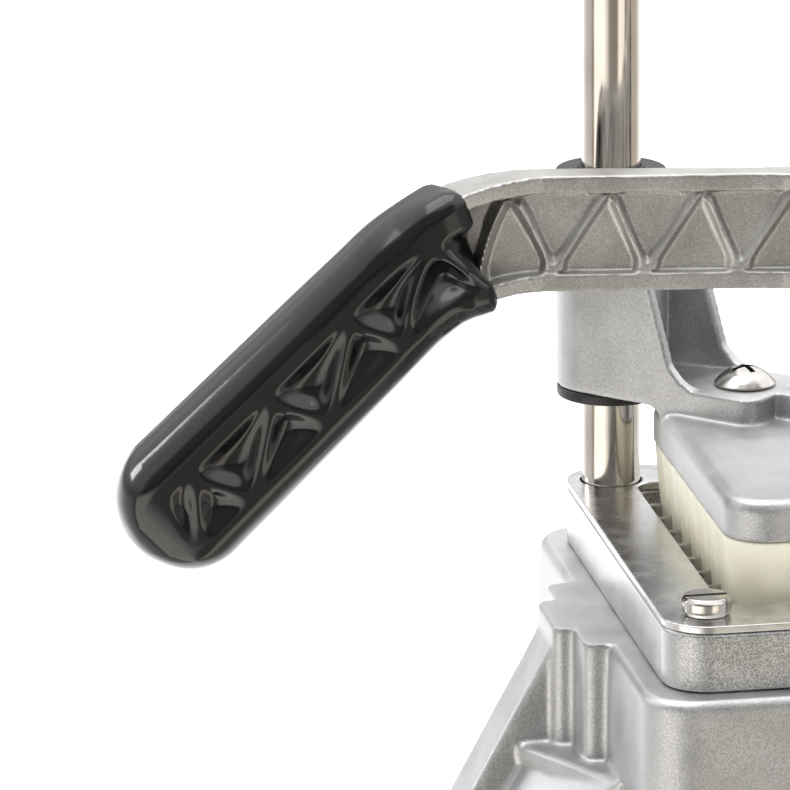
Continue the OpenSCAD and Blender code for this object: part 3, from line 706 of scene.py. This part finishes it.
def groovedSquare(side, grid, plan, steps=150):
    # rounded square that loses draft down to its foot, with soft grooves on its left and right
    radius, half = plan["corner"] * mm, plan["grooveHalf"] * mm
    span = side / 2 - radius

    def outline(inset, share=0):
        lost = inset + plan["draft"] * mm * (1 - share)
        corner = roundedSquare(side, radius)(lost)
        quarter = len(corner) // 4
        corners = [corner[k * quarter:(k + 1) * quarter] for k in range(4)]
        points = []
        for before, sx, after in ((3, 1, 0), (1, -1, 2)):
            points += corners[before]
            for n in range(1, steps):
                y = sx * (-span + 2 * span * n / steps)
                dip = min(sum(math.exp(-((y - at) / half) ** 2) for at in grid), 1)
                points.append(Vector((
                    sx * (side / 2 - lost - plan["grooveDepth"] * mm * dip), y)))
            points += corners[after]
        return points
    return outline


def makeBlock(plan, grid):
    low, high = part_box("pusher_block")
    side = high.x - low.x
    bm = bmesh.new()
    prism(bm, [groovedSquare(side, grid, plan)], low.z, high.z, plan["ease"] * mm)
    bmesh.ops.recalc_face_normals(bm, faces=bm.faces)
    wide, deep = plan["slot"] * mm, 2 * (plan["fingerTop"] * mm - low.z)
    slots = [[(Vector((at, 0, low.z)), (wide, 2 * side, deep), 0) for at in grid],
             [(Vector((0, at, low.z)), (2 * side, wide, deep), 0) for at in grid]]
    cut = cutAndEase(bm, slots, "pusher_block", plan["fingerEase"] * mm)
    addPiece("pusher_block", "sawn", cut, "head", "nylon")


# Rods, rubber stops and bushings

turnedPlan = {  # millimetres
    "rodBore": 8.05, "rodEase": 1.0, "bumperEase": 1.4, "bushSleeve": 10, "bushFlange": 3,
    "bushEase": 0.6, "lipRadius": 9, "lip": 1,
}


def turnedPiece(node, finish, profile, body, material, ease, closed=True):
    bm = bmesh.new()
    lathe(bm, roundCorners(profile, ease * mm, closed=closed), (*middleOf(node).xy, 0),
          closed=closed)
    addPiece(node, finish, bm, body, material)


def makeTurned(plan):
    bore, sleeve, flange, lip, lipRadius = (
        plan[k] * mm for k in ("rodBore", "bushSleeve", "bushFlange", "lip", "lipRadius"))
    for side in ("left", "right"):
        low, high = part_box("guide_rod_" + side)
        radius = (high.x - low.x) / 2
        turnedPiece("guide_rod_" + side, "ground", [
            (0, low.z), (radius, low.z), (radius, high.z), (0, high.z)],
            "base", "rodGround", plan["rodEase"], False)
        low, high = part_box("rod_bumper_" + side)
        radius = (high.x - low.x) / 2
        turnedPiece("rod_bumper_" + side, "moulded", [
            (bore, low.z), (radius, low.z), (radius, high.z), (bore, high.z)],
            "base", "rubber", plan["bumperEase"])
        low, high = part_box("upper_bushing_" + side)
        radius, top = (high.x - low.x) / 2, high.z - lip
        turnedPiece("upper_bushing_" + side, "turned", [
            (bore, low.z), (sleeve, low.z), (sleeve, top - flange), (radius, top - flange),
            (radius, top), (lipRadius, top), (lipRadius, high.z), (bore, high.z)],
            "head", "acetal", plan["bushEase"])
        low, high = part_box("lower_bushing_" + side)
        radius = (high.x - low.x) / 2
        turnedPiece("lower_bushing_" + side, "turned", [
            (bore, low.z), (radius, low.z), (radius, low.z + flange), (sleeve, low.z + flange),
            (sleeve, high.z), (bore, high.z)],
            "head", "acetal", plan["bushEase"])


# Feet: flared rubber cups with a groove under the collar that the leg stands on

footPlan = {  # millimetres
    "cup": ((3.2, 5), (8, 5), (8, 0.3), (11, 0)),  # radius and level
    "lip": ((-2.2, 0), (0, 0.6), (-0.3, 2.2)),  # radius from the foot's own, level
    "neck": (  # radius, share of the foot's height
        (14.8, 0.5), (12.2, 0.72), (11.5, 0.8), (13, 0.88), (13, 1), (3.2, 1)),
    "ease": 0.9,
}


def makeFeet(plan):
    for place in ("front", "rear", "left", "right"):
        low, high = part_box("foot_" + place)
        radius = (high.x - low.x) / 2
        profile = [(r * mm, z * mm) for r, z in plan["cup"]]
        profile += [(radius + r * mm, z * mm) for r, z in plan["lip"]]
        profile += [(r * mm, high.z * share) for r, share in plan["neck"]]
        turnedPiece("foot_" + place, "moulded", profile, "base", "rubber",
                    plan["ease"])


# Hexagon bolts on washers: under the rods, on their tops and on the handle's hub

boltPlan = {  # millimetres
    "rodShank": 4, "rodAcross": 13, "hubShank": 5, "hubAcross": 17,
    "washerGap": 0.2, "washerEase": 0.25, "shankEase": 0.6,
    "steps": 48, "bearing": 0.96, "bearingLift": 0.3, "chamferFrom": 1.1,
    "chamfer": ((0.5, 1.07), (0.1, 0.98), (0, 0.93)),  # under the top, share of the half width
}


def hexHeadInto(bm, plan, centre, across, seat, height, up):
    # chamfered hexagon, drawn from its seat up, or down when up is -1
    flat, sixth = across / 2, math.pi / 3
    corner = flat / math.cos(sixth / 2)
    levels = [(0, flat * plan["bearing"]), (plan["bearingLift"] * mm, corner),
              (height - plan["chamferFrom"] * mm, corner)]
    levels += [(height - under * mm, flat * share) for under, share in plan["chamfer"]]
    rings = []
    for level, limit in levels:
        ring = []
        for i in range(plan["steps"]):
            a = 2 * math.pi * i / plan["steps"]
            radius = min(flat / math.cos((a + sixth / 2) % sixth - sixth / 2), limit)
            ring.append(bm.verts.new(Vector(centre) + Vector((
                radius * math.cos(a), radius * math.sin(a), seat + up * level))))
        rings.append(ring)
    for lower, upper in zip(rings, rings[1:]):
        for i in range(len(lower)):
            bm.faces.new((lower[i - 1], lower[i], upper[i], upper[i - 1]))
    bm.faces.new(rings[0])
    bm.faces.new(rings[-1])


def makeBoltStack(plan, washerNode, boltNode, body, places, kind, outer, up=1):
    washers, bolts = bmesh.new(), bmesh.new()
    low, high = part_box(washerNode)
    boltLow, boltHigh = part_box(boltNode)
    shank, inner = plan[kind + "Shank"] * mm, (plan[kind + "Shank"] + plan["washerGap"]) * mm
    seat = high.z if up > 0 else low.z
    height = boltHigh.z - seat if up > 0 else seat - boltLow.z
    foot, top = (boltLow.z, seat) if up > 0 else (seat, boltHigh.z)
    for place in places:
        centre = (*place, 0)
        lathe(washers, roundCorners([(inner, low.z), (outer, low.z), (outer, high.z),
                                     (inner, high.z)], plan["washerEase"] * mm),
              centre, 48, True)
        hexHeadInto(bolts, plan, centre, plan[kind + "Across"] * mm, seat, height, up)
        lathe(bolts, roundCorners([(0, foot), (shank, foot), (shank, top), (0, top)],
                                  plan["shankEase"] * mm, closed=False), centre, 36)
    addPiece(washerNode, "eased", washers, body, "fastener")
    addPiece(boltNode, "turned", bolts, body, "fastener")


def makeBolts(plan):
    rods = [middleOf("guide_rod_" + side).xy for side in ("left", "right")]
    makeBoltStack(plan, "rod_base_washers", "rod_base_bolts", "base", rods, "rod",
                  2 * plan["rodShank"] * mm, -1)
    low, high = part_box("rod_washers")
    makeBoltStack(plan, "rod_washers", "rod_bolts", "base", rods, "rod",
                  (high.x - low.x) / 2 - abs(rods[0].x))
    makeBoltStack(plan, "handle_washer", "handle_bolt", "head", [(0, 0)], "hub",
                  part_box("handle_washer")[1].x)


# Screws: slotted cheese heads on the cassette, crossed truss heads on the pusher, feet screws

cheesePlan = {  # millimetres
    "radius": 6.5, "height": 5, "shank": 4, "slotWidth": 1.8, "slotDepth": 2.0,
    "seat": 0.9, "crown": 0.86,  # shares of the radius
    "seatLift": 1.3, "crownDrop": 1.1, "ease": 0.35, "slotEase": 0.15,
}
trussPlan = {  # millimetres and degrees
    "radius": 8.3, "height": 5.2, "shank": 4, "recess": 4.1, "recessWidth": 1.6,
    "recessDepth": 2.6, "recessTurn": 20, "recessEase": 0.12, "seat": 0.93,  # of the radius
    "seatLift": 0.5, "rim": 0.9, "domePower": 2.3, "domeSteps": 14,
}
footScrewPlan = {"head": 6, "headHeight": 4, "shank": 3, "ease": 0.8}  # millimetres


def makeCheeseScrew(plan, node):
    low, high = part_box(node)
    seat = high.z - plan["height"] * mm
    radius, shank = plan["radius"] * mm, plan["shank"] * mm
    profile = roundCorners([
        (0, low.z), (shank, low.z), (shank, seat), (radius * plan["seat"], seat),
        (radius, seat + plan["seatLift"] * mm), (radius, high.z - plan["crownDrop"] * mm),
        (radius * plan["crown"], high.z), (0, high.z)], plan["ease"] * mm, closed=False)
    bm = bmesh.new()
    centre = Vector((*middleOf(node).xy, 0))
    lathe(bm, profile, centre, 64)
    bmesh.ops.recalc_face_normals(bm, faces=bm.faces)
    slot = (centre + Vector((0, 0, high.z)), (
        4 * radius, plan["slotWidth"] * mm, 2 * (plan["slotDepth"] * mm)), 0)
    cut = cutAndEase(bm, [[slot]], node, plan["slotEase"] * mm)
    addPiece(node, "slotted", cut, "base", "fastener")


def makeTrussScrew(plan, node):
    low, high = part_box(node)
    seat = high.z - plan["height"] * mm
    radius, shank, rim = plan["radius"] * mm, plan["shank"] * mm, plan["rim"]
    dome = []
    for k in range(plan["domeSteps"]):
        s = k / plan["domeSteps"]
        swell = 1 - (1 - s) ** plan["domePower"]
        dome.append((radius * (1 - s), seat + (rim + (plan["height"] - rim) * swell) * mm))
    profile = [(0, low.z), (shank, low.z), (shank, seat), (radius * plan["seat"], seat),
               (radius, seat + plan["seatLift"] * mm)] + dome + [(0, high.z)]
    bm = bmesh.new()
    centre = Vector((*middleOf(node).xy, 0))
    lathe(bm, profile, centre, 64)
    bmesh.ops.recalc_face_normals(bm, faces=bm.faces)
    size = (2 * plan["recess"] * mm, plan["recessWidth"] * mm, 2 * (plan["recessDepth"] * mm))
    arms = [[(centre + Vector((0, 0, high.z)), size, math.radians(plan["recessTurn"] + turn))]
            for turn in (0, 90)]
    cut = cutAndEase(bm, arms, node, plan["recessEase"] * mm)
    addPiece(node, "crossed", cut, "head", "fastener")


def makeFootScrews(plan):
    bm = bmesh.new()
    low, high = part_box("foot_screws")
    head, shank = plan["head"] * mm, plan["shank"] * mm
    top = low.z + plan["headHeight"] * mm
    profile = roundCorners([(0, low.z), (head, low.z), (head, top), (shank, top),
                            (shank, high.z), (0, high.z)], plan["ease"] * mm, closed=False)
    for place in ("front", "rear", "left", "right"):
        lathe(bm, profile, (*middleOf("foot_" + place).xy, 0), 48)
    addPiece("foot_screws", "turned", bm, "base", "fastener")


# Grips: a thick vinyl dip over the truss, lofted along the handle's path

gripPlan = {  # millimetres and degrees; places are distance along the path and height over it
    "coat": 3, "halfHeights": ((92, 15.65), (136, 14.2), (214, 16)),
    "cornerHeights": ((108, 4.5), (124, 7.5), (214, 9)),
    "cornerDepths": ((108, 6), (124, 12), (214, 16)),
    "leastCorner": 1, "mostCorner": 0.9,  # the second as a share of the half size
    "startAt": 112.1, "startTilt": -0.27, "pocketBack": 3.0, "tuck": 0.2,
    "lip": ((0, 2.3), (0.4, 1.2), (1.1, 0.4), (2.4, 0)),  # push along the path, inset
    "capDepth": (2.4, 2.2), "capHeight": (2.05, 2),  # powers of the rounded end
    "pocket": (-10.4, 7.4), "pocketEnd": (217.5, 0.35),  # the end leans with height
    "ribs": ((111, -9.5), (119.5, 6), (140.5, -8.5), (146.8, 5), (169, -9.2), (176.5, 4.6),
             (198.2, -9.5), (205.5, 4.8), (216, -7)),
    "ribHalf": 0.1, "ribReach": 12, "relief": ((112, 8.2), (126, 4.2), (214, 3.6)),
    "reliefSoft": 3.1, "dish": 1.4, "fadeFrom": 0.4, "fadeRun": 9,
    "webHalf": 0.9, "flangeAt": 11.3, "castingInset": 3.6,
    "faceSteps": 50, "cornerSteps": 10, "topSteps": 14, "rows": 180, "caps": 24,
}


def sectionPlaces(plan):
    # a rounded rectangle's points: shares of the flat reach, shares of the corner radius, face
    faces, corners, tops = plan["faceSteps"], plan["cornerSteps"], plan["topSteps"]
    places = []
    for n, (steps, face) in enumerate(((faces, -1), (tops, 0), (faces, 1), (tops, 0))):
        for k in range(steps + 1):
            run = -1 + 2 * k / steps
            flats = ((-1, run, -1, 0), (run, 1, 0, 1), (1, -run, 1, 0), (-run, -1, 0, -1))
            places.append((*flats[n], face))
        ky, kz = ((-1, 1), (1, 1), (1, -1), (-1, -1))[n]
        for k in range(1, corners):
            a = math.radians(180 - 90 * n - 90 * k / corners)
            places.append((ky, kz, math.cos(a), math.sin(a), 0))
    return places


def segmentDistance(p, a, b):
    along = b - a
    s = min(1, max(0, (p - a).dot(along) / along.length_squared))
    return (p - a - along * s).length


def softShare(plan, gap):  # 0 at a wall, 1 well away from it
    return 1 - math.exp(-(max(gap, 0) / plan["reliefSoft"]) ** 2)


def edgeShare(plan, v):  # 0 at the pocket's upper and lower edges
    low, high = plan["pocket"]
    return softShare(plan, min(high - v, v - low))


def reliefDepth(plan, t, v):
    low, high = plan["pocket"]
    end, lean = plan["pocketEnd"]
    gaps = [high - v, v - low, end - lean * v - t]
    if min(gaps) <= 0:
        return 0
    here, ribs = Vector((t, v)), [Vector(p) for p in plan["ribs"]]
    for a, b in zip(ribs, ribs[1:]):
        if min(a.x, b.x) - plan["ribReach"] < t < max(a.x, b.x) + plan["ribReach"]:
            gaps.append(segmentDistance(here, a, b) - plan["ribHalf"])
    blend = plan["dish"]  # a soft minimum rounds the dishes' middles
    near = -blend * math.log(sum(math.exp(-max(g, 0) / blend) for g in gaps))
    fill = plan["fadeFrom"]  # the coat fills the lower dishes
    fade = fill + (1 - fill) * eased((v - low) / plan["fadeRun"])
    return lookUp(plan["relief"], t) * fade * softShare(plan, near)


def makeGrip(plan, path, node, turn):
    coat, places = plan["coat"], sectionPlaces(plan)
    bend = path["bendRadius"] * math.radians(path["bendAngle"])
    endAt = path["straightHalf"] + bend + path["endLength"]
    endHalf = plan["halfHeights"][-1][1] + coat
    bm = bmesh.new()

    def halves(t, inset):
        depth = lookUp(path["halfDepths"], pathFrame(path, t)[0].x) + coat - inset
        corner = [max(lookUp(plan[key], t) - inset, plan["leastCorner"])
                  for key in ("cornerDepths", "cornerHeights")]
        return depth, lookUp(plan["halfHeights"], t) + coat - inset, corner

    def section(place, depth, height, corner):
        ky, kz, cy, cz = place[:4]
        wide = min(corner[0], plan["mostCorner"] * depth)
        tall = min(corner[1], plan["mostCorner"] * height)
        return ky * (depth - wide) + cy * wide, kz * (height - tall) + cz * tall

    starts = []
    for place in places:
        y, z = section(place, *halves(plan["startAt"], 0))
        back = plan["pocketBack"] * edgeShare(plan, z) if place[4] else 0
        starts.append(plan["startAt"] + plan["startTilt"] * y + back)

    def addVertex(t, ahead, y, z):
        point, along, up = pathFrame(path, t)
        return bm.verts.new((point + along * ahead + Vector((0, y, 0)) + up * z) * mm)

    def hiddenRing():  # inside the bare casting, where the coat starts
        low, high = plan["pocket"]
        ring = []
        for start, place in zip(starts, places):
            y, z = section(place, *halves(start, plan["castingInset"]))
            if place[4] and low < z < high:
                y = place[4] * plan["webHalf"]
                wall = math.copysign(plan["flangeAt"], z - (low + high) / 2)
                z = wall + (z - wall) * edgeShare(plan, z)
            elif place[4]:
                z = math.copysign(max(abs(z), plan["flangeAt"]), z)
            ring.append(addVertex(start + plan["tuck"], 0, y, z))
        return ring

    def openRing(share, push, inset):
        ring = []
        for start, place in zip(starts, places):
            t = start + push + (endAt - start - push) * share
            y, z = section(place, *halves(t, inset))
            if place[4]:
                y -= place[4] * reliefDepth(plan, t, z)
            ring.append(addVertex(t, 0, y, z))
        return ring

    def capRing(s):
        depth, height, corner = halves(endAt, 0)
        depth *= (1 - s ** plan["capDepth"][0]) ** (1 / plan["capDepth"][1])
        height *= (1 - s ** plan["capHeight"][0]) ** (1 / plan["capHeight"][1])
        ring = []
        for place in places:
            y, z = section(place, depth, height, corner)
            if place[4]:
                y -= place[4] * reliefDepth(plan, endAt + endHalf * s, z)
            ring.append(addVertex(endAt, endHalf * s, y, z))
        return ring

    rings = [hiddenRing()] + [openRing(0, push, inset) for push, inset in plan["lip"]]
    lastPush = plan["lip"][-1][0]
    rings += [openRing(k / plan["rows"], lastPush, 0) for k in range(1, plan["rows"] + 1)]
    rings += [capRing(math.sin(math.pi / 2 * k / plan["caps"])) for k in range(1, plan["caps"])]
    count = len(places)
    for low, high in zip(rings, rings[1:]):
        for i in range(count):
            bm.faces.new((low[i - 1], low[i], high[i], high[i - 1]))
    first, top = rings[0], plan["faceSteps"] + plan["cornerSteps"] + plan["topSteps"] // 2
    for k in range(count // 2):  # closes the hidden ring from face to face, like a zip
        addFace(bm, [first[(top - k) % count], first[(top - k - 1) % count],
                     first[(top + k + 1) % count], first[(top + k) % count]])
    point, along, _ = pathFrame(path, endAt)
    tip = bm.verts.new((point + along * endHalf) * mm)
    for i in range(count):
        bm.faces.new((rings[-1][i - 1], rings[-1][i], tip))
    bmesh.ops.rotate(bm, verts=bm.verts, cent=(0, 0, 0),
                     matrix=Matrix.Rotation(math.radians(path["turn"] + turn), 3, "Z"))
    addPiece(node, "dipped", bm, "head", "dippedVinyl")


makeCamera(cameraPlan)
makeWorld(studioPlan)
makeLamps(lampPlan)
makeFloor(floorPlan)
print("studio made")
for castNode, castFacts in castPlan.items():
    makeCasting(castNode, castFacts, relaxPlan)
print("castings made")
cuts = [(i - blockPlan["cells"] / 2) * blockPlan["cut"] * mm for i in range(1, blockPlan["cells"])]
makeCassette(cassettePlan)
makeBlades(cassettePlan, cuts)
makeBlock(blockPlan, cuts)
print("cassette and block made")
makeTurned(turnedPlan)
makeFeet(footPlan)
makeBolts(boltPlan)
for side in ("left", "right"):
    makeCheeseScrew(cheesePlan, "frame_screw_" + side)
    makeTrussScrew(trussPlan, "pusher_screw_" + side)
makeFootScrews(footScrewPlan)
print("turned parts made")
makeGrip(gripPlan, barPath, "grip_left", 180)
makeGrip(gripPlan, barPath, "grip_right", 0)
print("grips made")
